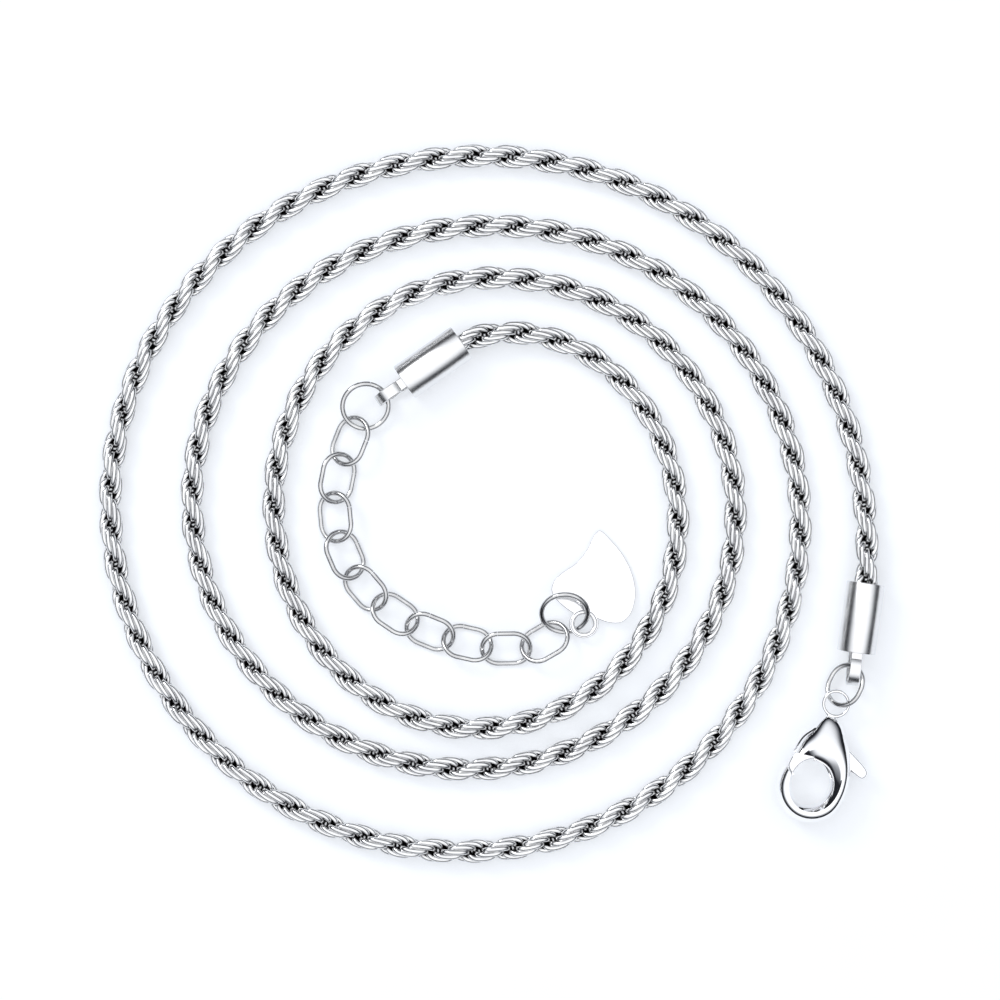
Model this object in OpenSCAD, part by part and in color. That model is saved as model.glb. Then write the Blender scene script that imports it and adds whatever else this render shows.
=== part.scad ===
// Rope chain necklace, coiled flat on a table: rope chain, glue-in end caps,
// lobster clasp, extender chain and a heart-shaped tag.
// Origin: on the table under the middle of the piece. +Z up, +Y towards the top of the coil.

/* [Rope chain] */
// Diameter over the twisted rings
rope_d = 2.1; // [1.9:0.1:2.2]
// Air gap where two lengths of rope meet at a flex point
flex_gap = 0.5; // [0.4:0.1:0.8]
// Length of rope that is glued inside each end cap
glued_len = 4; // [2:0.5:5]

/* [End caps] */
// Outer diameter of a barrel
cap_d = 3.3; // [3.1:0.1:3.6]
// Wall thickness of a barrel
cap_wall = 0.2; // [0.15:0.05:0.3]
// Length of a barrel
cap_len = 6; // [5.5:0.5:8]
// Width of the strip that is bent into the loop
strip_w = 1; // [0.9:0.1:1.1]
// Thickness of that strip
strip_t = 0.24; // [0.2:0.02:0.26]
// How far the strip loop stands out of the barrel
loop_reach = 2.85; // [2.8:0.05:3]

/* [Rings and links] */
// Wire diameter of the links and rings
wire_d = 0.45; // [0.4:0.01:0.46]
// Length over an extender link
link_len = 4.6; // [4.5:0.05:4.7]
// Width over an extender link
link_w = 3.4; // [3.3:0.05:3.5]
// Distance from one link's middle to the next
link_pitch = 3.35; // [3.3:0.05:3.4]
// Roll of the links, left and right in turn
link_roll = 28; // [26:1:30]
// Outer diameter of the round rings at both ends of the extender
round_ring_d = 4.4; // [4.3:0.1:4.6]
// Length over the oval ring that holds the clasp
clasp_ring_len = 4; // [3.9:0.05:4.1]
// Width over the oval ring that holds the clasp
clasp_ring_w = 3.6; // [3.5:0.05:3.7]

/* [Clasp] */
// Thickness of the clasp's body
clasp_t = 3.2; // [3:0.1:3.3]
// Outer radius of the clasp's eye
eye_r = 1.25; // [1.2:0.05:1.3]
// Radius of the hole in the eye
eye_hole_r = 0.9; // [0.85:0.05:0.9]
// Thickness of the eye
eye_t = 0.4; // [0.3:0.05:0.5]
// Thickness of the lever
lever_t = 1; // [0.9:0.1:1.1]
// Air on each side of the lever in its slot
lever_air = 0.15; // [0.1:0.05:0.2]
// Radius of the pin that the lever turns on
pin_r = 0.4; // [0.35:0.05:0.5]

/* [Tag] */
// Thickness of the heart tag
tag_t = 0.25; // [0.2:0.05:0.3]
// Radius of the hole in the tag
tag_hole_r = 0.8; // [0.75:0.05:0.85]

/* [Hidden] */
silver = "#d8dadd";
steel = "#9aa0a6";
$fn = 48;

rope_parts = 16;
link_count = 10;

function numbered(word, i) = str(word, i < 10 ? "_0" : "_", i);

// ---- Route of the rope: a loose spiral, from the clasp's cap inwards ----
// Its radius is given where each turn crosses the right, top, left and bottom of the coil,
// joined by a smooth cubic. The first two and last two values only set the slope at the ends.
coil_centre = [-1.15, 0.2];
route_first = -180;
route_step = 90;
route_radii = [
    45, 41,
    33, 29.5, 31.5, 30,
    27.5, 23.5, 24.5, 23,
    22, 19, 17.5, 19.5,
    17, 14,
    5.5, 0
];
route_start = -12;
route_end = 1176;

function cubic(p, f) =
    p[1] + f / 2 * (p[2] - p[0]
        + f * (2 * p[0] - 5 * p[1] + 4 * p[2] - p[3]
        + f * (3 * (p[1] - p[2]) + p[3] - p[0])));

function route_radius(a) =
    let (u = (a - route_first) / route_step, i = floor(u))
    cubic([for (k = [-1:2]) route_radii[i + k]], u - i);

function route_xy(a) = coil_centre + route_radius(a) * [cos(a), sin(a)];

// Length along the route, in a table that lookup() turns back into an angle
route_samples = 600;
route_angles = [for (i = [0:route_samples])
    route_start + i * (route_end - route_start) / route_samples];
route_run = [for (i = 0, s = 0; i <= route_samples;
    i = i + 1,
    s = i > route_samples ? s
        : s + norm(route_xy(route_angles[i]) - route_xy(route_angles[i - 1]))) s];
rope_len = route_run[route_samples];
angle_by_run = [for (i = [0:route_samples]) [route_run[i], route_angles[i]]];

// The rope lies on the table and climbs to the middle of the barrel at both ends
cap_r = cap_d / 2;
climb = cap_r - rope_d / 2;
climb_len = 9;
function eased(f) = let (g = min(max(f, 0), 1)) g * g * (3 - 2 * g);
function rope_z(s) =
    rope_d / 2 + climb * (eased(1 - s / climb_len) + eased(1 - (rope_len - s) / climb_len));
function rope_point(s) =
    let (p = route_xy(lookup(s, angle_by_run))) [p.x, p.y, rope_z(s)];

// ---- Headings, anticlockwise from +X, and the places that follow from them ----
clasp_cap_heading = -98;
extender_cap_heading = 215;
clasp_mouth = rope_point(0);
extender_mouth = rope_point(rope_len);
function ahead(heading) = [cos(heading), sin(heading), 0];
function across(heading) = [-sin(heading), cos(heading), 0];

bore_r = cap_r - cap_wall;
loop_r = bore_r;
loop_centre = loop_reach - loop_r;
disc_t = 0.6;
clasp_loop = clasp_mouth + (cap_len + loop_centre) * ahead(clasp_cap_heading);
extender_loop = extender_mouth + (cap_len + loop_centre) * ahead(extender_cap_heading);

// The oval ring leans through the strip loop at one end and through the eye at the other
clasp_ring_heading = -116;
clasp_ring_lean = 36;
clasp_ring_droop = 0;
clasp_ring_back = 0.2;
clasp_ring_a = (clasp_ring_len - wire_d) / 2;
clasp_ring_end = clasp_loop - clasp_ring_back * ahead(clasp_cap_heading);
clasp_ring_mid = clasp_ring_end
    + clasp_ring_a * (cos(clasp_ring_droop) * ahead(clasp_ring_heading)
    - [0, 0, sin(clasp_ring_droop)]);
eye = 2 * clasp_ring_mid - clasp_ring_end;
clasp_heading = -104;

// The extender's first ring hangs in the strip loop, and each link in the one before it
wire_r = wire_d / 2;
ring_r = (round_ring_d - wire_d) / 2;
link_a = (link_len - wire_d) / 2;
link_b = (link_w - wire_d) / 2;
link_z = wire_r + link_b * sin(link_roll) + 0.02;
ring_heading = 209;
ring_out = 0.5;
ring_z = 1.25;
// The ring leans to one side about this heading, and droops along it
ring_lean_heading = -132;
ring_lean = -16;
ring_droop = 7;
ring_mid = [
    extender_loop.x + (ring_out + ring_r) * cos(ring_heading),
    extender_loop.y + (ring_out + ring_r) * sin(ring_heading),
    ring_z
];
slack = 2 * link_a - link_pitch;
first_step = ring_r + link_a - slack;
// Direction of each step from one link's middle to the next, from the first ring on
steps = [-114, -109, -93, -76, -58, -41, -27, -17, -8, 10];
function link_mid(i) =
    i == 0 ? [ring_mid.x, ring_mid.y, link_z]
        : link_mid(i - 1) + (i == 1 ? first_step : link_pitch) * ahead(steps[i - 1]);
last_heading = 30;
function link_heading(i) = i < link_count ? (steps[i - 1] + steps[i]) / 2 : last_heading;
function link_roll_of(i) = i % 2 == 1 ? link_roll : -link_roll;

// The round ring of the tag leans about +X; the tag's hole sits on its wire
tag_ring_lean = 34;
tag_ring_z = 1.5;
tag_ring_mid = link_mid(link_count) + [1.7, 2.45, tag_ring_z - link_z];
tag_place = -33;
tag_hole = tag_ring_mid + ring_r * [
    cos(tag_place),
    sin(tag_place) * cos(tag_ring_lean),
    sin(tag_place) * sin(tag_ring_lean)
];
tag_slope = 6;
tag_slope_heading = 52;
// Outline of the bent heart, from its hole at the origin; smooth between the points
tag_points = [
    [1.5, 7.95], [2.4, 7.1], [3.3, 6.0], [4.0, 4.7], [4.4, 3.3], [4.4, 2.0],
    [4.0, 0.8], [3.2, 0.1], [2.1, 0.1], [1.0, 0.5], [0, 0.9], [-0.9, 0.9], [-2.3, 2.0],
    [-2.75, 2.9], [-2.4, 3.8], [-1.6, 4.5], [-0.7, 5.1], [0.1, 6.0], [0.7, 7.1], [1.05, 7.7]
];
tag_rim_r = 1.25;

// ---- The clasp, in its own frame: eye at the origin, +X to the hook, +Y to the thumb tab ----
clasp_slot = [2.4, 5.9];
pivot = [3.9, 0.3];
mouth_r = 3.9;
gate_r = 3.77;
hub_r = 0.95;
recess_r = 1.05;
lever_bore_r = pin_r + 0.05;
spring_wire = 0.2;
spring_r = lever_bore_r + spring_wire / 2 + 0.05;
spring_turns = 2;
spring_z = clasp_t / 2 + 0.2;
clasp_floor = eye.z - clasp_t / 2;
pin_sunk = 0.4;

module at(place, heading) {
    translate(place)
        rotate([0, 0, heading])
            children();
}

// ---- Shared shapes ----
// A tube of 8 sides swept along a list of points
module swept(points, r) {
    sides = 8;
    last = len(points) - 1;
    function along(i) =
        let (d = points[min(i + 1, last)] - points[max(i - 1, 0)]) d / norm(d);
    function around(i, k) =
        let (t = along(i), side = cross(t, [0, 0, 1]), s = side / norm(side), u = cross(s, t))
        points[i] + r / cos(180 / sides)
            * (cos((k + 0.5) * 360 / sides) * s + sin((k + 0.5) * 360 / sides) * u);
    corners = [for (i = [0:last], k = [0:sides - 1]) around(i, k)];
    walls = [for (i = [0:last - 1], k = [0:sides - 1]) [
        i * sides + k,
        (i + 1) * sides + k,
        (i + 1) * sides + (k + 1) % sides,
        i * sides + (k + 1) % sides
    ]];
    first_end = [for (k = [0:sides - 1]) k];
    last_end = [for (k = [sides - 1:-1:0]) last * sides + k];
    polyhedron(corners, concat([first_end, last_end], walls), convexity = 6);
}

// Closed oval of round wire in the XY plane, long axis along X
module oval(len, width) {
    bend = (width - wire_d) / 2;
    straight = (len - width) / 2;
    for (side = [-1, 1]) {
        translate([side * straight, 0, 0])
            rotate([0, 0, side > 0 ? -90 : 90])
                rotate_extrude(angle = 180)
                    translate([bend, 0])
                        circle(d = wire_d);
        translate([-straight, side * bend, 0])
            rotate([0, 90, 0])
                cylinder(d = wire_d, h = 2 * straight);
    }
}

module round_ring() {
    rotate_extrude()
        translate([ring_r, 0])
            circle(d = wire_d);
}

// ---- Rope chain: each length is a plain rod of the rope's outside size ----
rings_per_part = 6;
module rope_part(i) {
    pitch = rope_len / rope_parts;
    s0 = i == 1 ? 0 : (i - 1) * pitch + flex_gap / 2;
    s1 = i == rope_parts ? rope_len : i * pitch - flex_gap / 2;
    middle = [for (k = [0:rings_per_part - 1])
        rope_point(s0 + k * (s1 - s0) / (rings_per_part - 1))];
    head = i == 1 ? [clasp_mouth + glued_len * ahead(clasp_cap_heading)] : [];
    tail = i == rope_parts ? [extender_mouth + glued_len * ahead(extender_cap_heading)] : [];
    color(silver)
        swept(concat(head, middle, tail), rope_d / 2);
}

// ---- End caps: a barrel that the rope is glued into, and a disc with a strip loop ----
module barrel() {
    color(silver)
        rotate([0, 90, 0])
            difference() {
                cylinder(d = cap_d, h = cap_len);
                translate([0, 0, -1])
                    cylinder(r = bore_r, h = cap_len + 2);
            }
}

module strip_outline() {
    difference() {
        union() {
            translate([loop_centre, 0])
                circle(r = loop_r);
            translate([-0.1, -loop_r + 0.3])
                square([loop_centre + 0.1, 2 * loop_r - 0.6]);
        }
        translate([loop_centre, 0])
            circle(r = loop_r - strip_t);
        translate([0, -loop_r + 0.3 + strip_t])
            square([loop_centre, 2 * (loop_r - 0.3 - strip_t)]);
        translate([-loop_r, -loop_r])
            square([loop_r - 0.1, 2 * loop_r]);
    }
}

module strip_loop() {
    color(silver)
        translate([cap_len, 0, 0]) {
            translate([-disc_t, 0, 0])
                rotate([0, 90, 0])
                    cylinder(r = bore_r, h = disc_t);
            rotate([90, 0, 0])
                translate([0, 0, -strip_w / 2])
                    linear_extrude(strip_w)
                        strip_outline();
        }
}

module clasp_end_barrel() {
    at(clasp_mouth, clasp_cap_heading)
        barrel();
}

module clasp_end_loop() {
    at(clasp_mouth, clasp_cap_heading)
        strip_loop();
}

module extender_end_barrel() {
    at(extender_mouth, extender_cap_heading)
        barrel();
}

module extender_end_loop() {
    at(extender_mouth, extender_cap_heading)
        strip_loop();
}

// ---- Clasp ----
module clasp_ring() {
    color(silver)
        at(clasp_ring_mid, clasp_ring_heading)
            rotate([0, clasp_ring_droop, 0])
                rotate([clasp_ring_lean, 0, 0])
                    oval(clasp_ring_len, clasp_ring_w);
}

module claw_outline() {
    difference() {
        union() {
            polygon([[0.8, -0.55], [0.8, 0.55], [1.6, 0.75], [3.4, 1.9], [3.4, -1.9], [1.6, -0.75]]);
            translate([4.4, 0])
                circle(r = 2.15);
            translate([6.3, -0.05])
                circle(r = 2.7);
            translate([7.35, -0.3])
                circle(r = 3);
        }
        for (x = [6.8, 7.35])
            translate([x, -0.5])
                circle(r = 1.73);
        translate([6.8, -2.23])
            square([0.55, 3.46]);
        intersection() {
            translate(pivot)
                circle(r = mouth_r);
            translate([4.8, -5])
                square([5, 4.2]);
        }
    }
}

module clasp_body() {
    slot_t = lever_t + 2 * lever_air;
    color(silver)
        at([eye.x, eye.y, clasp_floor], clasp_heading)
            difference() {
                union() {
                    linear_extrude(clasp_t)
                        claw_outline();
                    translate([0, 0, (clasp_t - eye_t) / 2])
                        cylinder(r = eye_r, h = eye_t);
                }
                cylinder(r = eye_hole_r, h = clasp_t);
                translate([clasp_slot[0], -5, (clasp_t - slot_t) / 2])
                    cube([clasp_slot[1] - clasp_slot[0], 10, slot_t]);
                translate([pivot.x, pivot.y, -1])
                    cylinder(r = pin_r, h = clasp_t + 2);
            }
}

module lever_blank() {
    translate(pivot)
        cylinder(r = hub_r, h = lever_t);
    intersection() {
        translate(pivot)
            cylinder(r = gate_r, h = lever_t);
        linear_extrude(lever_t)
            polygon([[3.6, 0.6], [3.2, -0.3], [4.0, -1.9], [5.2, -2.75], [7.2, -3.4],
                [7.2, -2.0], [5.3, -1.3], [4.6, 0.2]]);
    }
    linear_extrude(lever_t)
        polygon([[3.2, 0.2], [3.3, 1.3], [3.7, 2.2], [4.7, 3.9], [5.5, 3.7], [5.1, 2.3],
            [4.7, 0.9], [4.4, 0.2]]);
}

module clasp_lever() {
    color(silver)
        at([eye.x, eye.y, clasp_floor], clasp_heading)
            translate([0, 0, (clasp_t - lever_t) / 2])
                difference() {
                    lever_blank();
                    translate([pivot.x, pivot.y, -1])
                        cylinder(r = lever_bore_r, h = lever_t + 2);
                    translate([pivot.x, pivot.y, lever_t / 2])
                        cylinder(r = recess_r, h = lever_t);
                }
}

module clasp_pin() {
    color(steel)
        at([eye.x, eye.y, clasp_floor], clasp_heading)
            translate([pivot.x, pivot.y, pin_sunk])
                cylinder(r = pin_r, h = clasp_t - 2 * pin_sunk);
}

// Two turns round the pin in the lever's recess, and the leg that bears on the neck
module clasp_spring() {
    color(steel)
        at([eye.x, eye.y, clasp_floor], clasp_heading)
            translate([pivot.x, pivot.y, spring_z]) {
                for (turn = [0:spring_turns - 1])
                    translate([0, 0, turn * spring_wire * 0.9])
                        rotate_extrude()
                            translate([spring_r, 0])
                                circle(d = spring_wire);
                translate([0, spring_r, 0])
                    rotate([0, -90, 0])
                        cylinder(d = spring_wire, h = pivot.x - clasp_slot[0]);
            }
}

// ---- Extender ----
module extender_ring() {
    color(silver)
        at(ring_mid, ring_lean_heading)
            rotate([0, ring_droop, 0])
                rotate([ring_lean, 0, 0])
                    round_ring();
}

module extender_link(i) {
    color(silver)
        at(link_mid(i), link_heading(i))
            rotate([link_roll_of(i), 0, 0])
                oval(link_len, link_w);
}

module tag_ring() {
    color(silver)
        translate(tag_ring_mid)
            rotate([tag_ring_lean, 0, 0])
                round_ring();
}

// ---- Tag ----
tag_smooth = [for (i = [0:len(tag_points) - 1], f = [0, 0.25, 0.5, 0.75])
    let (n = len(tag_points), p = [for (k = [-1:2]) tag_points[(i + k + n) % n]])
    [cubic([for (q = p) q.x], f), cubic([for (q = p) q.y], f)]];

module heart_tag() {
    color(silver)
        translate(tag_hole)
            rotate([0, 0, tag_slope_heading])
                rotate([0, tag_slope, 0])
                    rotate([0, 0, -tag_slope_heading])
                        translate([0, 0, -tag_t / 2])
                            difference() {
                                union() {
                                    linear_extrude(tag_t)
                                        polygon(tag_smooth);
                                    cylinder(r = tag_rim_r, h = tag_t);
                                }
                                translate([0, 0, -1])
                                    cylinder(r = tag_hole_r, h = tag_t + 2);
                            }
}

for (i = [1:rope_parts])
    rope_part(i);
for (i = [1:link_count])
    extender_link(i);
clasp_end_barrel();
clasp_end_loop();
extender_end_barrel();
extender_end_loop();
clasp_ring();
clasp_body();
clasp_lever();
clasp_pin();
clasp_spring();
extender_ring();
tag_ring();
heart_tag();
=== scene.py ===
import bpy
import numpy as np
from math import pi, sin, cos, radians, hypot, atan2, sqrt
from mathutils import Vector, Matrix


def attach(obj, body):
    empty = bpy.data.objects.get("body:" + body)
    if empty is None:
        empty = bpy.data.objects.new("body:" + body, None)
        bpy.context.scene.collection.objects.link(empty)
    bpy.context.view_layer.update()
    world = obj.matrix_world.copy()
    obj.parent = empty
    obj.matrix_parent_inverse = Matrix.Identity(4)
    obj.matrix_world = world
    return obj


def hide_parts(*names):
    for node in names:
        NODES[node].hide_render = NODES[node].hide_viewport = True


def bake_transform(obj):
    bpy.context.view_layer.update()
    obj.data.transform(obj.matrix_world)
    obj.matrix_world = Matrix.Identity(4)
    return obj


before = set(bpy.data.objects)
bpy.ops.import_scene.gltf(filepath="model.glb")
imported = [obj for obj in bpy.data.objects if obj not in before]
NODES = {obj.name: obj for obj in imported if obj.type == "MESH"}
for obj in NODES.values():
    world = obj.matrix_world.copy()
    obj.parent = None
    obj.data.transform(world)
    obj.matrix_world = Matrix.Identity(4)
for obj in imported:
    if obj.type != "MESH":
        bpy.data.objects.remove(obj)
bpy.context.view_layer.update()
MM = 0.001

# ---------------------------------------------------------------- camera
# Straight down, with the image's width 85.5 mm across at the table
VIEW_WIDTH = 85.5 * MM
VIEW_CENTRE = (0.71 * MM, 0.25 * MM)
LENS = 135.0
cam_data = bpy.data.cameras.new("camera")
cam_data.lens = LENS
cam_data.sensor_width = 36.0
cam = bpy.data.objects.new("camera", cam_data)
cam.location = (*VIEW_CENTRE, 1.5 * MM + VIEW_WIDTH * LENS / 36.0)
cam_data.clip_start = 0.01
cam_data.clip_end = 10.0
bpy.context.scene.collection.objects.link(cam)
bpy.context.scene.camera = cam

# ---------------------------------------------------------------- route of the rope (as in the CAD, in metres)
ROPE_D = 2.1 * MM
CAP_D = 3.3 * MM
CAP_LEN = 6 * MM
COIL_CENTRE = np.array([-1.15, 0.2]) * MM
ROUTE_FIRST, ROUTE_STEP = -180, 90
ROUTE_RADII = np.array([
    45, 41,
    33, 29.5, 31.5, 30,
    27.5, 23.5, 24.5, 23,
    22, 19, 17.5, 19.5,
    17, 14,
    5.5, 0
]) * MM
ROUTE_START, ROUTE_END = -12, 1176
ROPE_PARTS = 16
CLIMB_LEN = 9 * MM
CLASP_CAP_HEADING = -98
EXTENDER_CAP_HEADING = 215


def ahead(heading):
    a = radians(heading)
    return np.array([cos(a), sin(a), 0.0])


def route_xy(angle):
    u = (angle - ROUTE_FIRST) / ROUTE_STEP
    i = np.floor(u).astype(int)
    f = u - i
    p = [ROUTE_RADII[i + k] for k in (-1, 0, 1, 2)]
    r = p[1] + f / 2 * (p[2] - p[0] + f * (2 * p[0] - 5 * p[1] + 4 * p[2] - p[3]
                                           + f * (3 * (p[1] - p[2]) + p[3] - p[0])))
    a = np.radians(angle)
    return COIL_CENTRE + np.stack([r * np.cos(a), r * np.sin(a)], -1)


_angles = np.linspace(ROUTE_START, ROUTE_END, 6001)
_xy = route_xy(_angles)
_run = np.concatenate([[0], np.cumsum(np.hypot(*np.diff(_xy, axis=0).T))])
ROPE_LEN = float(_run[-1])
PITCH = ROPE_LEN / ROPE_PARTS


def eased(f):
    g = np.clip(f, 0, 1)
    return g * g * (3 - 2 * g)


def rope_point(s):
    """Centreline points at lengths s; beyond either end it runs straight on into the cap."""
    s = np.asarray(s, float)
    c = np.clip(s, 0, ROPE_LEN)
    xy = np.stack([np.interp(c, _run, _xy[:, 0]), np.interp(c, _run, _xy[:, 1])], -1)
    z = ROPE_D / 2 + (CAP_D - ROPE_D) / 2 * (eased(1 - c / CLIMB_LEN)
                                            + eased(1 - (ROPE_LEN - c) / CLIMB_LEN))
    p = np.concatenate([xy, z[..., None]], -1)
    p = p + np.maximum(-s, 0)[..., None] * ahead(CLASP_CAP_HEADING)
    return p + np.maximum(s - ROPE_LEN, 0)[..., None] * ahead(EXTENDER_CAP_HEADING)


def rope_frame(s):
    """Point, tangent, side and up at lengths s."""
    h = 0.25 * MM
    t = rope_point(s + h) - rope_point(s - h)
    t /= np.linalg.norm(t, axis=-1, keepdims=True)
    side = np.cross(t, [0, 0, 1.0])
    side /= np.linalg.norm(side, axis=-1, keepdims=True)
    return rope_point(s), t, side, np.cross(side, t)


# ---------------------------------------------------------------- mesh helpers
def new_object(name, verts, faces, smooth=True):
    mesh = bpy.data.meshes.new(name)
    mesh.from_pydata(np.asarray(verts).tolist(), [], np.asarray(faces).tolist()
                     if isinstance(faces, np.ndarray) else faces)
    mesh.update()
    if smooth:
        mesh.shade_smooth()
    obj = bpy.data.objects.new(name, mesh)
    bpy.context.scene.collection.objects.link(obj)
    return obj


def grid_faces(rows, cols, close_rows, close_cols, start=0):
    r = np.arange(rows if close_rows else rows - 1)
    c = np.arange(cols if close_cols else cols - 1)
    i, j = np.meshgrid(r, c, indexing="ij")
    i1, j1 = (i + 1) % rows, (j + 1) % cols
    q = np.stack([i * cols + j, i1 * cols + j, i1 * cols + j1, i * cols + j1], -1)
    return q.reshape(-1, 4) + start


# ---------------------------------------------------------------- the twisted rope
TWIST = 6.6 * MM          # length of one full turn of the double spiral
RINGS_PER_TURN = 11.3
WIRE = 0.235 * MM         # radius of the rope's ring wire
RING_OUT = ROPE_D / 2 - WIRE
RING_ALONG = 1.17 * MM
RING_SQUARE = 0.8         # under 1 makes the oval's sides straighter
ALONG, ROUND = 26, 8


def ring_oval(a):
    return np.stack([RING_OUT * np.sign(np.cos(a)) * np.abs(np.cos(a)) ** RING_SQUARE,
                     RING_ALONG * np.sign(np.sin(a)) * np.abs(np.sin(a)) ** RING_SQUARE])


def rope_rings(s0, s1):
    """Rings of the rope, and how far each vertex lies from the rope's middle (1 at the outside)."""
    step = TWIST / RINGS_PER_TURN
    index = np.arange(np.ceil(s0 / step), np.ceil(s1 / step))
    phi = np.linspace(0, 2 * pi, ALONG, endpoint=False)
    psi = np.linspace(0, 2 * pi, ROUND, endpoint=False) + pi / ROUND
    S, PHI, PSI = np.meshgrid(index * step, phi, psi, indexing="ij")
    theta = 2 * pi * S / TWIST
    # place in the ring's own plane: out from the rope's axis, and along it
    line = ring_oval(PHI)
    step_on = ring_oval(PHI + 0.01) - ring_oval(PHI - 0.01)
    step_on /= np.hypot(*step_on)
    out = line[0] + WIRE * np.cos(PSI) * step_on[1]
    w = line[1] - WIRE * np.cos(PSI) * step_on[0]
    q = WIRE * np.sin(PSI)
    x = out * np.cos(theta) - q * np.sin(theta)
    y = out * np.sin(theta) + q * np.cos(theta)
    p, t, side, up = rope_frame((S + w).ravel())
    verts = p + x.ravel()[:, None] * side + y.ravel()[:, None] * up
    one = grid_faces(ALONG, ROUND, True, True)
    faces = np.concatenate([one + k * ALONG * ROUND for k in range(len(index))])
    return verts, faces, np.hypot(x, y).ravel() / (ROPE_D / 2)


ROPE_BODIES = [f"rope_{i:02d}" for i in range(1, ROPE_PARTS + 1)]
IN_CAP = 1.6 * MM
rope_pieces = []
for k in range(1, ROPE_PARTS):
    s0 = -IN_CAP if k == 1 else (k - 0.5) * PITCH
    s1 = ROPE_LEN + IN_CAP if k == ROPE_PARTS - 1 else (k + 0.5) * PITCH
    verts, faces, reach = rope_rings(s0, s1)
    piece = new_object(f"rope_chain_{k:02d}", verts, faces)
    piece.data.attributes.new("reach", "FLOAT", "POINT").data.foreach_set("value", reach)
    hinge, along = (x[0] for x in rope_frame(np.array([k * PITCH]))[:2])
    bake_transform(piece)
    names = ROPE_BODIES[k - 1:k + 1] if k == 1 else ROPE_BODIES[k:k + 1]
    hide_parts(*names)
    rope_pieces.append(piece)

# ---------------------------------------------------------------- materials
def node_tree(name):
    mat = bpy.data.materials.new(name)
    mat.use_nodes = True
    return mat, mat.node_tree.nodes, mat.node_tree.links


def metal(name, light, dark, rough, grain, bump):
    """Polished metal: faint cloudy tone, uneven polish, and fine scratches in the surface."""
    mat, nodes, links = node_tree(name)
    shader = nodes["Principled BSDF"]
    shader.inputs["Metallic"].default_value = 1.0
    place = nodes.new("ShaderNodeTexCoord")
    cloud = nodes.new("ShaderNodeTexNoise")
    cloud.inputs["Scale"].default_value = grain
    cloud.inputs["Detail"].default_value = 4.0
    links.new(place.outputs["Object"], cloud.inputs["Vector"])
    tone = nodes.new("ShaderNodeValToRGB")
    tone.color_ramp.elements[0].position = 0.3
    tone.color_ramp.elements[0].color = (*dark, 1)
    tone.color_ramp.elements[1].position = 0.65
    tone.color_ramp.elements[1].color = (*light, 1)
    links.new(cloud.outputs["Fac"], tone.inputs["Fac"])
    links.new(tone.outputs["Color"], shader.inputs["Base Color"])
    polish = nodes.new("ShaderNodeMapRange")
    polish.inputs["To Min"].default_value = rough[0]
    polish.inputs["To Max"].default_value = rough[1]
    links.new(cloud.outputs["Fac"], polish.inputs["Value"])
    links.new(polish.outputs["Result"], shader.inputs["Roughness"])
    fine = nodes.new("ShaderNodeTexNoise")
    fine.inputs["Scale"].default_value = 9000.0
    fine.inputs["Detail"].default_value = 3.0
    links.new(place.outputs["Object"], fine.inputs["Vector"])
    relief = nodes.new("ShaderNodeBump")
    relief.inputs["Strength"].default_value = bump
    relief.inputs["Distance"].default_value = 0.01 * MM
    links.new(fine.outputs["Fac"], relief.inputs["Height"])
    links.new(relief.outputs["Normal"], shader.inputs["Normal"])
    return mat


def paint_crevice_shade(mat, low, high, colour):
    """Painted shade: darkens the metal's colour towards the rope's middle, where the rope's wires dive under one
    another.
    """
    nodes, links = mat.node_tree.nodes, mat.node_tree.links
    base = nodes["Principled BSDF"].inputs["Base Color"]
    unshaded_colour = base.links[0].from_socket
    reach = nodes.new("ShaderNodeAttribute")
    reach.attribute_name = "reach"
    span = nodes.new("ShaderNodeMapRange")
    span.interpolation_type = "SMOOTHSTEP"
    span.inputs["From Min"].default_value = low
    span.inputs["From Max"].default_value = high
    links.new(reach.outputs["Fac"], span.inputs["Value"])
    mix = nodes.new("ShaderNodeMix")
    mix.data_type = "RGBA"
    # the painted shade colour, mixed in where the wires lie deep in the rope
    mix.inputs["A"].default_value = (*colour, 1)
    links.new(span.outputs["Result"], mix.inputs["Factor"])
    links.new(unshaded_colour, mix.inputs["B"])
    links.new(mix.outputs["Result"], base)


SILVER = (0.84, 0.84, 0.84)
SILVER_LOW = (0.70, 0.70, 0.71)
rope_silver = metal("rope silver", SILVER, SILVER_LOW, (0.10, 0.2), 700, 0.2)
# painted shade: near-black colour mixed into the rope's silver in the crevices between its wires
paint_crevice_shade(rope_silver, 0.38, 0.66, (0.1, 0.1, 0.105))
# painted shade: a much darker silver for the tag's rounded edge, to draw dark lines round its outline
tag_edge_painted_shade = metal("tag edge painted shade", (0.34, 0.34, 0.35), (0.2, 0.2, 0.21), (0.25, 0.4), 600, 0.3)
cap_silver = metal("cap silver", (0.86, 0.86, 0.86), (0.78, 0.78, 0.79), (0.2, 0.32), 500, 0.25)
clasp_silver = metal("clasp silver", (0.95, 0.95, 0.96), (0.9, 0.9, 0.91), (0.03, 0.09), 300, 0.05)
ring_silver = metal("ring silver", (0.70, 0.70, 0.70), (0.52, 0.52, 0.53), (0.08, 0.16), 900, 0.15)
tag_silver = metal("tag silver", (0.95, 0.95, 0.96), (0.9, 0.9, 0.92), (0.12, 0.2), 350, 0.1)
spring_steel = metal("spring steel", (0.62, 0.62, 0.64), (0.5, 0.5, 0.52), (0.2, 0.35), 800, 0.2)


def finish_with(obj, mat):
    obj.data.materials.clear()
    obj.data.materials.append(mat)


for piece in rope_pieces:
    finish_with(piece, rope_silver)
for name, obj in NODES.items():
    if name.startswith("rope"):
        continue
    for s in obj.material_slots:
        s.material = (cap_silver if "barrel" in name or "end_loop" in name
                      else spring_steel if name in ("clasp_pin", "clasp_spring")
                      else clasp_silver if name.startswith("clasp_body") or name == "clasp_lever"
                      else tag_silver if name == "heart_tag" else ring_silver)

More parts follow.
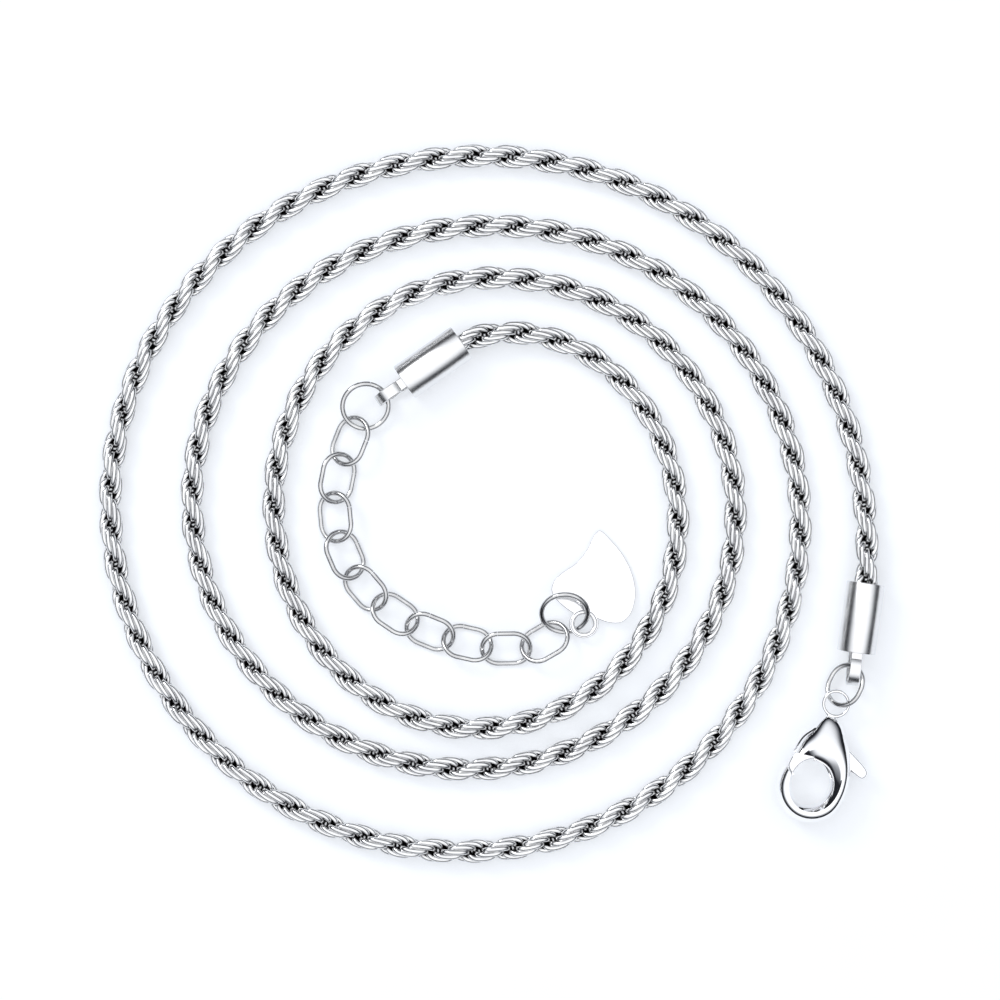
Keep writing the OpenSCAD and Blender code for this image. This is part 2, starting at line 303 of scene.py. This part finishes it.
# ---------------------------------------------------------------- places, as in the CAD
WIRE_D = 0.45 * MM
LOOP_X = 7.4 * MM         # middle of the strip loop, from the barrel's mouth
CLASP_RING_HEADING, CLASP_RING_LEAN = -116, 36
CLASP_RING_LEN, CLASP_RING_W = 4.0 * MM, 3.6 * MM
CLASP_RING_BACK = 0.2 * MM
CLASP_HEADING = -104
RING_D = 4.4 * MM
RING_HEADING, RING_FROM_LOOP, RING_Z = 209, 0.5 * MM, 1.25 * MM
RING_LEAN_HEADING, RING_LEAN, RING_DROOP = -132, -16, 7
LINK_LEN, LINK_W, LINK_PITCH, LINK_ROLL = 4.6 * MM, 3.4 * MM, 3.35 * MM, 28
STEPS = [-114, -109, -93, -76, -58, -41, -27, -17, -8, 10]
LAST_HEADING = 30
TAG_RING_LEAN, TAG_RING_Z, TAG_PLACE = 34, 1.5 * MM, -33
TAG_T, TAG_HOLE_R, TAG_RIM_R = 0.25 * MM, 0.8 * MM, 1.25 * MM
TAG_SLOPE, TAG_SLOPE_HEADING = 6, 52
TAG_POINTS = [
    (1.5, 7.95), (2.4, 7.1), (3.3, 6.0), (4.0, 4.7), (4.4, 3.3), (4.4, 2.0),
    (4.0, 0.8), (3.2, 0.1), (2.1, 0.1), (1.0, 0.5), (0, 0.9), (-0.9, 0.9), (-2.3, 2.0),
    (-2.75, 2.9), (-2.4, 3.8), (-1.6, 4.5), (-0.7, 5.1), (0.1, 6.0), (0.7, 7.1), (1.05, 7.7),
]
CLASP_T = 3.2 * MM
LEVER_T = 1.0 * MM
PIVOT = (3.9, 0.3)
MOUTH_R, GATE_R = 3.9, 3.77


def turn(axis, degrees):
    return np.array(Matrix.Rotation(radians(degrees), 3, axis))


clasp_mouth, extender_mouth = rope_point(0.0), rope_point(ROPE_LEN)
clasp_loop = clasp_mouth + LOOP_X * ahead(CLASP_CAP_HEADING)
extender_loop = extender_mouth + LOOP_X * ahead(EXTENDER_CAP_HEADING)
clasp_ring_end = clasp_loop - CLASP_RING_BACK * ahead(CLASP_CAP_HEADING)
clasp_ring_mid = clasp_ring_end + (CLASP_RING_LEN - WIRE_D) / 2 * ahead(CLASP_RING_HEADING)
eye = 2 * clasp_ring_mid - clasp_ring_end
RING_R = (RING_D - WIRE_D) / 2
LINK_A, LINK_B = (LINK_LEN - WIRE_D) / 2, (LINK_W - WIRE_D) / 2
SLACK = 2 * LINK_A - LINK_PITCH
link_z = WIRE_D / 2 + LINK_B * sin(radians(LINK_ROLL)) + 0.02 * MM
ring_mid = extender_loop + (RING_FROM_LOOP + RING_R) * ahead(RING_HEADING)
ring_mid[2] = RING_Z
link_mids = [ring_mid * [1, 1, 0] + [0, 0, link_z]]
for i, heading in enumerate(STEPS):
    link_mids.append(link_mids[-1] + (RING_R + LINK_A - SLACK if i == 0 else LINK_PITCH) * ahead(heading))
link_mids = link_mids[1:]
link_headings = [(a + b) / 2 for a, b in zip(STEPS, STEPS[1:])] + [LAST_HEADING]
tag_ring_mid = link_mids[-1] + [1.7 * MM, 2.45 * MM, TAG_RING_Z - link_z]
tag_ring_turn = turn("X", TAG_RING_LEAN)
tag_hole = tag_ring_mid + tag_ring_turn @ (RING_R * ahead(TAG_PLACE))


# ---------------------------------------------------------------- rings and links of round wire
def tube(points, radius, sides=16, closed=False):
    """Round wire along points; flat ends unless closed."""
    points = np.asarray(points, float)
    n = len(points)
    t = np.roll(points, -1, 0) - np.roll(points, 1, 0)
    if not closed:
        t[0], t[-1] = points[1] - points[0], points[-1] - points[-2]
    t /= np.linalg.norm(t, axis=1, keepdims=True)
    flat = np.cross(points[1] - points[0], points[n // 3] - points[0])
    flat /= np.linalg.norm(flat)
    side = np.cross(t, flat)
    a = np.linspace(0, 2 * pi, sides, endpoint=False)
    verts = (points[:, None] + radius * (np.cos(a)[:, None] * side[:, None] + np.sin(a)[:, None] * flat))
    faces = grid_faces(n, sides, closed, True).tolist()
    if not closed:
        faces += [list(range(sides))[::-1], list(range((n - 1) * sides, n * sides))]
    return verts.reshape(-1, 3), faces


SEAM = 0.035 * MM


def wire_ring(name, node, body, mid, rotation, a, b, seam):
    """A bent wire ring whose two ends meet at a fine seam, at that angle round it."""
    count = 112
    straight = a - b
    length = 2 * pi * b + 4 * straight
    bend = pi * b
    start = (seam % 360) / 360 * length
    u = (start + np.linspace(SEAM / 2, length - SEAM / 2, count)) % length
    pts = []
    for x in u:
        if x < bend:
            angle = -pi / 2 + x / b
            pts.append((straight + b * cos(angle), b * sin(angle), 0))
        elif x < bend + 2 * straight:
            pts.append((straight - (x - bend), b, 0))
        elif x < 2 * bend + 2 * straight:
            angle = pi / 2 + (x - bend - 2 * straight) / b
            pts.append((-straight + b * cos(angle), b * sin(angle), 0))
        else:
            pts.append((-straight + (x - 2 * bend - 2 * straight), -b, 0))
    verts, faces = tube(pts, WIRE_D / 2)
    obj = new_object(name, verts @ rotation.T + mid, faces)
    obj.data.set_sharp_from_angle(angle=radians(50))
    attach(obj, body)
    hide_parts(node)
    finish_with(obj, ring_silver)
    return obj


wire_ring("clasp_jump_ring", "clasp_ring", "clasp_ring", clasp_ring_mid,
          turn("Z", CLASP_RING_HEADING) @ turn("X", CLASP_RING_LEAN),
          (CLASP_RING_LEN - WIRE_D) / 2, (CLASP_RING_W - WIRE_D) / 2, 130)
wire_ring("extender_jump_ring", "extender_ring", "extender_ring", ring_mid,
          turn("Z", RING_LEAN_HEADING) @ turn("Y", RING_DROOP) @ turn("X", RING_LEAN),
          RING_R, RING_R, 300)
for i, (mid, heading) in enumerate(zip(link_mids, link_headings)):
    roll = LINK_ROLL if i % 2 == 0 else -LINK_ROLL
    wire_ring(f"extender_link_{i + 1:02d}", f"link_{i + 1:02d}", f"link_{i + 1:02d}", mid,
              turn("Z", heading) @ turn("X", roll), LINK_A, LINK_B, 178 + 3 * (i % 3))
wire_ring("tag_jump_ring", "tag_ring", "tag_ring", tag_ring_mid, tag_ring_turn, RING_R, RING_R, 200)


# ---------------------------------------------------------------- end caps
def lathe(profile, segments=72):
    """Closed outline of (along, radius) turned about X; a radius of 0 closes on the axis."""
    verts, faces, rows = [], [], []
    for x, r in profile:
        if r == 0:
            rows.append([len(verts)])
            verts.append((x, 0, 0))
        else:
            rows.append(list(range(len(verts), len(verts) + segments)))
            verts += [(x, r * cos(a), r * sin(a)) for a in np.linspace(0, 2 * pi, segments, endpoint=False)]
    for one, two in zip(rows, rows[1:]):
        for k in range(segments):
            n = (k + 1) % segments
            face = [one[k % len(one)], one[n % len(one)], two[n % len(two)], two[k % len(two)]]
            faces.append([v for j, v in enumerate(face) if v not in face[:j]])
    return np.array(verts), faces


def corner(x, r, dx, dr, radius, steps=4):
    """A rounded corner at (x, r): from along the first edge to along the second."""
    out = []
    for k in range(steps + 1):
        a = pi / 2 * k / steps
        out.append((x - dx * radius * (1 - sin(a)), r - dr * radius * (1 - cos(a))))
    return out


def cap_parts(word, mouth, heading, body):
    place = turn("Z", heading)
    r, bore, edge = CAP_D / 2, CAP_D / 2 - 0.2 * MM, 0.07 * MM
    rim = [(1.3 * MM, 0), (1.3 * MM, bore), (edge, bore), (0.4 * edge, bore + 0.3 * edge), (0, bore + edge),
           (0, r - edge), (0.3 * edge, r - 0.3 * edge), (edge, r), (CAP_LEN - edge, r),
           (CAP_LEN - 0.3 * edge, r - 0.3 * edge), (CAP_LEN, r - edge), (CAP_LEN, bore),
           (CAP_LEN - 0.3 * MM, bore), (CAP_LEN - 0.3 * MM, 0)]
    verts, faces = lathe(rim)
    barrel = new_object(f"{word}_barrel", verts @ place.T + mouth, faces)
    barrel.data.set_sharp_from_angle(angle=radians(40))
    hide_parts(f"{word}_end_barrel")
    # end disc and the strip bent into a loop
    half, thick = 0.5 * MM, 0.24 * MM
    mean_r = bore - thick / 2
    leg = bore - 0.3 * MM - thick / 2
    open_angle = pi - np.arcsin(leg / mean_r)
    arc = [(LOOP_X + mean_r * cos(a), mean_r * sin(a)) for a in np.linspace(open_angle, -open_angle, 41)]
    legs = [(CAP_LEN - 0.2 * MM, leg), (CAP_LEN + 0.15 * MM, leg), (arc[0][0] - 0.12 * MM, leg)]
    line = np.array(legs + arc + [(x, -z) for x, z in legs[::-1]])
    t = np.gradient(line, axis=0)
    t /= np.linalg.norm(t, axis=1, keepdims=True)
    normal = np.stack([-t[:, 1], t[:, 0]], 1)
    soft = 0.06 * MM
    ring = [(-half + soft, -1), (half - soft, -1), (half, -0.5), (half, 0.5), (half - soft, 1),
            (-half + soft, 1), (-half, 0.5), (-half, -0.5)]
    verts = np.array([(p[0] + n[0] * k * thick / 2, y, p[1] + n[1] * k * thick / 2)
                      for p, n in zip(line, normal) for y, k in ring])
    faces = grid_faces(len(line), len(ring), False, True).tolist()
    last = (len(line) - 1) * len(ring)
    faces += [list(range(len(ring)))[::-1], list(range(last, last + len(ring)))]
    disc, disc_faces = lathe([(CAP_LEN - 0.55 * MM, 0), (CAP_LEN - 0.55 * MM, bore - 0.02 * MM),
                              (CAP_LEN - 0.03 * MM, bore - 0.02 * MM), (CAP_LEN + 0.01 * MM, bore - 0.07 * MM),
                              (CAP_LEN + 0.01 * MM, 0)])
    faces += [[v + len(verts) for v in f] for f in disc_faces]
    verts = np.concatenate([verts, disc])
    loop = new_object(f"{word}_strip_loop", verts @ place.T + mouth, faces)
    loop.data.set_sharp_from_angle(angle=radians(35))
    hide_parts(f"{word}_end_loop")
    for obj in (barrel, loop):
        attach(obj, body)
        finish_with(obj, cap_silver)


cap_parts("clasp", clasp_mouth, CLASP_CAP_HEADING, "rope_01")
cap_parts("extender", extender_mouth, EXTENDER_CAP_HEADING, "rope_16")


# ---------------------------------------------------------------- flat plates with a rounded edge
def smooth_outline(points, per=6):
    p = np.array(points, float)
    out = []
    for i in range(len(p)):
        a, b, c, d = (p[(i + k) % len(p)] for k in (-1, 0, 1, 2))
        for f in np.arange(per) / per:
            out.append(b + f / 2 * (c - a + f * (2 * a - 5 * b + 4 * c - d + f * (3 * (b - c) + d - a))))
    return np.array(out)


def plate(name, outlines, thickness, edge):
    """Outlines in metres, the first is the outer one; the edge is rounded inwards."""
    curve = bpy.data.curves.new(name, "CURVE")
    curve.dimensions = "2D"
    curve.fill_mode = "BOTH"
    curve.extrude = thickness / 2 - edge
    curve.bevel_depth = edge
    curve.bevel_resolution = 3
    curve.offset = -edge
    for outline in outlines:
        spline = curve.splines.new("POLY")
        spline.points.add(len(outline) - 1)
        spline.points.foreach_set("co", np.c_[outline, np.zeros(len(outline)), np.ones(len(outline))].ravel())
        spline.use_cyclic_u = True
    shape = bpy.data.objects.new(name + "_outline", curve)
    bpy.context.scene.collection.objects.link(shape)
    bpy.context.view_layer.update()
    mesh = bpy.data.meshes.new_from_object(shape)
    bpy.data.objects.remove(shape)
    bpy.data.curves.remove(curve)
    mesh.name = name
    mesh.shade_smooth()
    mesh.set_sharp_from_angle(angle=radians(40))
    obj = bpy.data.objects.new(name, mesh)
    bpy.context.scene.collection.objects.link(obj)
    return obj


def put(obj, rotation, place):
    obj.data.transform(Matrix.Translation(Vector(place)) @ Matrix(rotation.tolist()).to_4x4())


heart = smooth_outline(TAG_POINTS) * MM
near = np.hypot(*heart.T) < TAG_RIM_R
# the eyelet's rim takes the place of the outline where the two cross
first = int(np.argmax(near))
last = len(near) - 1 - int(np.argmax(near[::-1]))
start, end = np.arctan2(*heart[first - 1][::-1]), np.arctan2(*heart[last + 1][::-1])
rim = [(TAG_RIM_R * cos(a), TAG_RIM_R * sin(a)) for a in np.linspace(start, end - 2 * pi if end > start else end, 40)[1:-1]]
outline = np.concatenate([heart[:first], rim, heart[last + 1:]])
hole = [(TAG_HOLE_R * cos(a), TAG_HOLE_R * sin(a)) for a in np.linspace(0, 2 * pi, 48, endpoint=False)]
tag = plate("heart_plate", [outline, np.array(hole)], TAG_T, 0.05 * MM)
tag_turn = turn("Z", TAG_SLOPE_HEADING) @ turn("Y", TAG_SLOPE) @ turn("Z", -TAG_SLOPE_HEADING)
EYELET_WIRE = 0.2 * MM
EYELET_R = TAG_HOLE_R + EYELET_WIRE
eyelet_line = [(EYELET_R * cos(x), EYELET_R * sin(x), 0) for x in np.linspace(0, 2 * pi, 56, endpoint=False)]
eyelet = new_object("tag_eyelet", *tube(eyelet_line, EYELET_WIRE, 14, closed=True))
put(eyelet, tag_turn, tag_hole)
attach(eyelet, "heart_tag")
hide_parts("heart_tag")
finish_with(eyelet, tag_silver)
# the edge faces take the dark painted-shade material, drawing dark lines round the tag's outline
edge_faces = [abs(f.normal.z) < 0.95 for f in tag.data.polygons]
put(tag, tag_turn, tag_hole)
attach(tag, "heart_tag")
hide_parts("heart_tag")
finish_with(tag, tag_silver)
tag.data.materials.append(tag_edge_painted_shade)
tag.data.polygons.foreach_set("material_index", [int(e) for e in edge_faces])

# ---------------------------------------------------------------- clasp
# In its own frame, in millimetres: eye at the origin, +X to the hook, +Y to the thumb tab.
# The claw is a band round its opening, given by the distance of its outer edge at each angle.
CLAW_MID = (7.05, -0.5)
OUTER = [(180, 5.9), (-170, 4.8), (-160, 4.2), (-145, 3.3), (-120, 2.8), (-95, 2.8), (-70, 3.0), (-40, 3.2),
         (0, 3.4), (45, 3.4), (80, 3.2), (110, 3.4), (135, 4), (155, 4.9), (170, 5.8)]
RIDGE = [(-180, 1.3), (-150, 0.75), (-95, 0.3), (-45, 0.35), (0, 0.45), (45, 0.6), (90, 0.75), (135, 1.1)]
OPEN_S, OPEN_T = 1.95, 1.65


def around(table, a):
    """Smooth periodic value of a table of (angle, value) at angles a, in degrees."""
    table = sorted(((x[0] + 180) % 360 - 180, x[1]) for x in table)
    angle = np.array([x[0] for x in table], float)
    value = np.array([x[1] for x in table], float)
    angle = np.concatenate([angle - 360, angle, angle + 360])
    value = np.tile(value, 3)
    slope = np.gradient(value, angle)
    i = np.clip(np.searchsorted(angle, a, side="right") - 1, 0, len(angle) - 2)
    h = angle[i + 1] - angle[i]
    u = (a - angle[i]) / h
    return ((1 + 2 * u) * (1 - u) ** 2 * value[i] + u * (1 - u) ** 2 * h * slope[i]
            + u * u * (3 - 2 * u) * value[i + 1] + u * u * (u - 1) * h * slope[i + 1])


NECK_HALF = 0.8


def clasp_height(s):
    """Half thickness, growing from the neck to the claw."""
    f = np.clip((s - 0.9) / 4.1, 0, 1)
    return NECK_HALF + (CLASP_T / MM / 2 - NECK_HALF) * f * f * (3 - 2 * f)


claw_angles = np.linspace(-180, 180, 144, endpoint=False)
a = np.radians(claw_angles)
inner = 1 / np.sqrt((np.cos(a) / OPEN_S) ** 2 + (np.sin(a) / OPEN_T) ** 2)
outer = around(OUTER, claw_angles)
ridge = inner + np.minimum(around(RIDGE, claw_angles), 0.6 * (outer - inner))
rows = [(inner, np.zeros_like(a)), (inner, np.full_like(a, 0.5))]
for f in np.linspace(0, 1, 6)[1:]:
    rows.append((inner + 0.06 + (ridge - inner - 0.06) * f, 0.58 + 0.42 * f ** 0.85 + 0 * a))
for f in np.sin(np.linspace(0, pi / 2, 13))[1:]:
    rows.append((ridge + (outer - ridge) * f, (1 - f ** 2.3) ** (1 / 2.3) + 0 * a))
section = rows + [(r, -h) for r, h in rows[-2:0:-1]]
verts = []
for r, h in section:
    s, t = CLAW_MID[0] + r * np.cos(a), CLAW_MID[1] + r * np.sin(a)
    verts.append(np.stack([s, t, h * clasp_height(s)], -1))
claw_verts = np.stack(verts, 1).reshape(-1, 3)
claw_faces = grid_faces(len(a), len(section), True, True)


def prism(name, outline, half):
    """A temporary cutter: an outline in millimetres, half high each way."""
    n = len(outline)
    verts = [(x, y, -half) for x, y in outline] + [(x, y, half) for x, y in outline]
    faces = [list(range(n))[::-1], list(range(n, 2 * n))]
    faces += [[k, (k + 1) % n, n + (k + 1) % n, n + k] for k in range(n)]
    return new_object(name, np.array(verts) * MM, faces, smooth=False)


def cut(obj, cutter, operation="DIFFERENCE"):
    change = obj.modifiers.new("cut", "BOOLEAN")
    change.operation = operation
    change.solver = "EXACT"
    change.object = cutter
    bpy.context.view_layer.update()
    mesh = bpy.data.meshes.new_from_object(obj.evaluated_get(bpy.context.evaluated_depsgraph_get()))
    obj.modifiers.clear()
    obj.data = mesh
    bpy.data.objects.remove(cutter)


claw = new_object("clasp_claw", claw_verts * MM, claw_faces)
arc = [(PIVOT[0] + MOUTH_R * cos(x), PIVOT[1] + MOUTH_R * sin(x)) for x in np.radians(np.linspace(-76.7, -16.4, 25))]
cut(claw, prism("mouth_cutter", [(4.8, -0.8), (4.8, -3.49)] + arc, 3))
slot_half = LEVER_T / MM / 2 + 0.15
cut(claw, prism("slot_cutter", [(2.4, -5), (5.9, -5), (5.9, 5), (2.4, 5)], slot_half))
eye_ring, eye_faces = tube([(1.075 * cos(x), 1.075 * sin(x), 0) for x in np.linspace(0, 2 * pi, 64, endpoint=False)],
                           0.175, 16, closed=True)
eye_ring = eye_ring * [1, 1, 1.5]
eye_obj = new_object("clasp_eye", eye_ring * MM, eye_faces)
clasp_place = np.array([eye[0], eye[1], eye[2]])
for obj in (claw, eye_obj):
    obj.data.shade_smooth()
    obj.data.set_sharp_from_angle(angle=radians(38))
    put(obj, turn("Z", CLASP_HEADING), clasp_place)
    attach(obj, "clasp")
    finish_with(obj, clasp_silver)
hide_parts("clasp_body")
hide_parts("clasp_body")

LEVER_OUTLINE = [
    (6.87, -2.05), (6.45, -2.1), (6.0, -1.93), (5.6, -1.66), (5.28, -1.3), (5.05, -0.85), (4.88, -0.2),
    (4.85, 0.6), (4.92, 1.2), (5.05, 1.9), (5.28, 2.6), (5.6, 3.3), (5.68, 3.66), (5.46, 3.92), (5.1, 3.98),
    (4.75, 3.75), (4.3, 3.15), (3.75, 2.3), (3.3, 1.5), (3.02, 0.85), (2.95, 0.3), (3.08, -0.3),
    (3.55, -1.0), (4.05, -1.65), (4.45, -2.12), (4.95, -2.45), (5.55, -2.66), (6.18, -2.68),
]
lever = plate("clasp_gate", [smooth_outline(LEVER_OUTLINE, 5) * MM], LEVER_T, 0.16 * MM)
put(lever, turn("Z", CLASP_HEADING), clasp_place)
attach(lever, "lever")
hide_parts("clasp_lever")
finish_with(lever, clasp_silver)

# ---------------------------------------------------------------- floor, lights and sky
floor = new_object("floor", [(-1, -1, -0.00002), (1, -1, -0.00002), (1, 1, -0.00002), (-1, 1, -0.00002)],
                   [(0, 1, 2, 3)], smooth=False)
paper, nodes, links = node_tree("white card")
card = nodes["Principled BSDF"]
card.inputs["Roughness"].default_value = 0.9
card.inputs["Specular IOR Level"].default_value = 0.1
speck = nodes.new("ShaderNodeTexNoise")
speck.inputs["Scale"].default_value = 60.0
place = nodes.new("ShaderNodeTexCoord")
links.new(place.outputs["Object"], speck.inputs["Vector"])
tint = nodes.new("ShaderNodeValToRGB")
tint.color_ramp.elements[0].color = (0.60, 0.63, 0.68, 1)
tint.color_ramp.elements[1].color = (0.63, 0.655, 0.69, 1)
card.inputs["Emission Color"].default_value = (0.98, 0.99, 1.0, 1)
card.inputs["Emission Strength"].default_value = 0.43
links.new(speck.outputs["Fac"], tint.inputs["Fac"])
links.new(tint.outputs["Color"], card.inputs["Base Color"])
finish_with(floor, paper)


def softbox(name, place, aim, size, power, colour=(1, 1, 1)):
    light = bpy.data.lights.new(name, "AREA")
    light.shape = "SQUARE"
    light.size = size
    light.energy = power
    light.color = colour
    obj = bpy.data.objects.new(name, light)
    obj.location = place
    obj.rotation_mode = "QUATERNION"
    obj.rotation_quaternion = (Vector(aim) - Vector(place)).to_track_quat("-Z", "Y")
    bpy.context.scene.collection.objects.link(obj)
    return obj


softbox("key softbox", (-0.34, 0.34, 0.42), (0, 0, 0), 0.2, 0.9)

world = bpy.data.worlds.new("studio")
bpy.context.scene.world = world
world.use_nodes = True
nodes, links = world.node_tree.nodes, world.node_tree.links
sky = nodes["Background"]
sky.inputs["Strength"].default_value = 1.3
place = nodes.new("ShaderNodeTexCoord")
split = nodes.new("ShaderNodeSeparateXYZ")
links.new(place.outputs["Generated"], split.inputs["Vector"])
ramp = nodes.new("ShaderNodeValToRGB")
e = ramp.color_ramp.elements
e[0].position, e[0].color = 0.0, (0.012, 0.013, 0.015, 1)
e[1].position, e[1].color = 1.0, (1.0, 1.01, 1.03, 1)
for at, c in ((0.34, (0.015, 0.016, 0.02)), (0.5, (0.22, 0.23, 0.25)), (0.68, (0.75, 0.77, 0.8)),
              (0.86, (1.0, 1.01, 1.03))):
    n = e.new(at)
    n.color = (*c, 1)
links.new(split.outputs["Z"], ramp.inputs["Fac"])
links.new(ramp.outputs["Color"], sky.inputs["Color"])
bpy.context.scene.view_settings.view_transform = "Standard"
